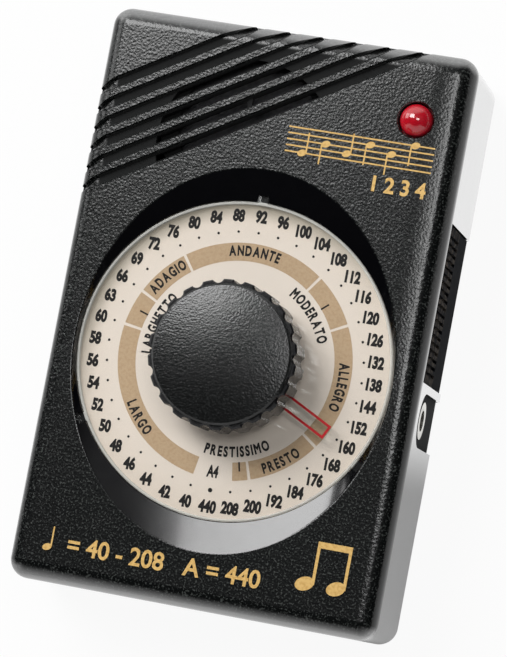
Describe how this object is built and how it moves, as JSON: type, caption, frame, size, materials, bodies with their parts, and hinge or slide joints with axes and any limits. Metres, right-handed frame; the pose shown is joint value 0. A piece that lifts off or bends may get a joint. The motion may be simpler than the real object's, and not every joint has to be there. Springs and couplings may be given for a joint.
{
  "type": "metronome",
  "caption": "Pocket electronic metronome: black case with slanted speaker grooves, a round tempo dial in a dish, scalloped knob with clear pointer and a red beat lamp.",
  "frame": {"origin": "centre of the rear face, on which the metronome lies", "axes": "+Z out of the dial face, +Y towards twelve o'clock on the dial, +X towards the battery door and earphone socket"},
  "size_m": [0.0656, 0.0998, 0.036],
  "materials": {
    "front_plastic": "grained black moulding",
    "rear_plastic": "satin black moulding",
    "door_plastic": "ribbed satin black moulding",
    "steel": "zinc plated",
    "bracket_steel": "spring steel strip",
    "speaker_pan": "black lacquered pressing",
    "cone_film": "doped paper",
    "magnet": "ground ferrite",
    "foam": "closed cell foam",
    "dial_white": "printed cream white",
    "clear": "clear acrylic",
    "brass": "bare brass",
    "copper": "etched copper",
    "nickel": "nickel plated",
    "lamp_red": "diffused red resin",
    "knob_black": "polished black moulding",
    "cap_black": "fine grained black",
    "board": "green solder mask",
    "chip": "black epoxy",
    "can_blue": "shrink sleeve",
    "resistor": "tan lacquer",
    "wire_red": "red insulation",
    "wire_grey": "grey insulation",
    "battery_jacket": "lacquered jacket",
    "socket_black": "black moulding",
    "rotor_white": "natural acetal",
    "wheel_black": "satin black moulding"
  },
  "bodies": {
    "case": {"front_shell": "front_plastic", "rear_shell": "rear_plastic", "case_screws": "steel", "small_screws": "steel", "battery": "battery_jacket", "battery_terminals": "nickel", "snap_studs": "nickel", "battery_snap": "socket_black", "battery_pad": "foam", "battery_wires": "wire_red", "dial_plate": "dial_white", "dial_window": "clear", "dial_bush": "brass", "led_lens": "lamp_red", "led_leads": "nickel", "led_spacer": "socket_black", "speaker_frame": "speaker_pan", "speaker_cone": "cone_film", "speaker_magnet": "magnet", "speaker_gasket": "foam", "speaker_bracket": "bracket_steel", "speaker_wires": "wire_grey", "main_pcb": "board", "contact_tracks": "copper", "timing_ic": "chip", "quartz_crystal": "nickel", "capacitors": "can_blue", "resistors": "resistor", "transistor": "chip", "earphone_socket": "socket_black", "socket_ferrule": "nickel", "socket_blades": "brass", "volume_pot": "socket_black", "detent_ring": "rotor_white"},
    "knob": {"tempo_knob": "knob_black", "knob_cap": "cap_black", "knob_screw": "steel", "pointer": "clear", "shaft": "brass", "switch_rotor": "rotor_white", "wiper_contacts": "brass", "detent_spring": "bracket_steel"},
    "volume_wheel": {"volume_wheel": "wheel_black"},
    "battery_door": {"battery_door": "door_plastic"}
  },
  "joints": [
    {"name": "tempo_turn", "type": "hinge", "parent": "case", "child": "knob", "pos_m": [0, -0.0074, 0.03], "axis": [0, 0, -1], "continuous": true},
    {"name": "volume_turn", "type": "hinge", "parent": "case", "child": "volume_wheel", "pos_m": [-0.025, -0.0166, 0.0131], "axis": [0, 0, 1], "range_deg": [-135, 135]},
    {"name": "door_swing", "type": "hinge", "parent": "case", "child": "battery_door", "pos_m": [0.0311, 0.0083, 0.0016], "axis": [0, 1, 0], "range_deg": [0, 85]}
  ]
}
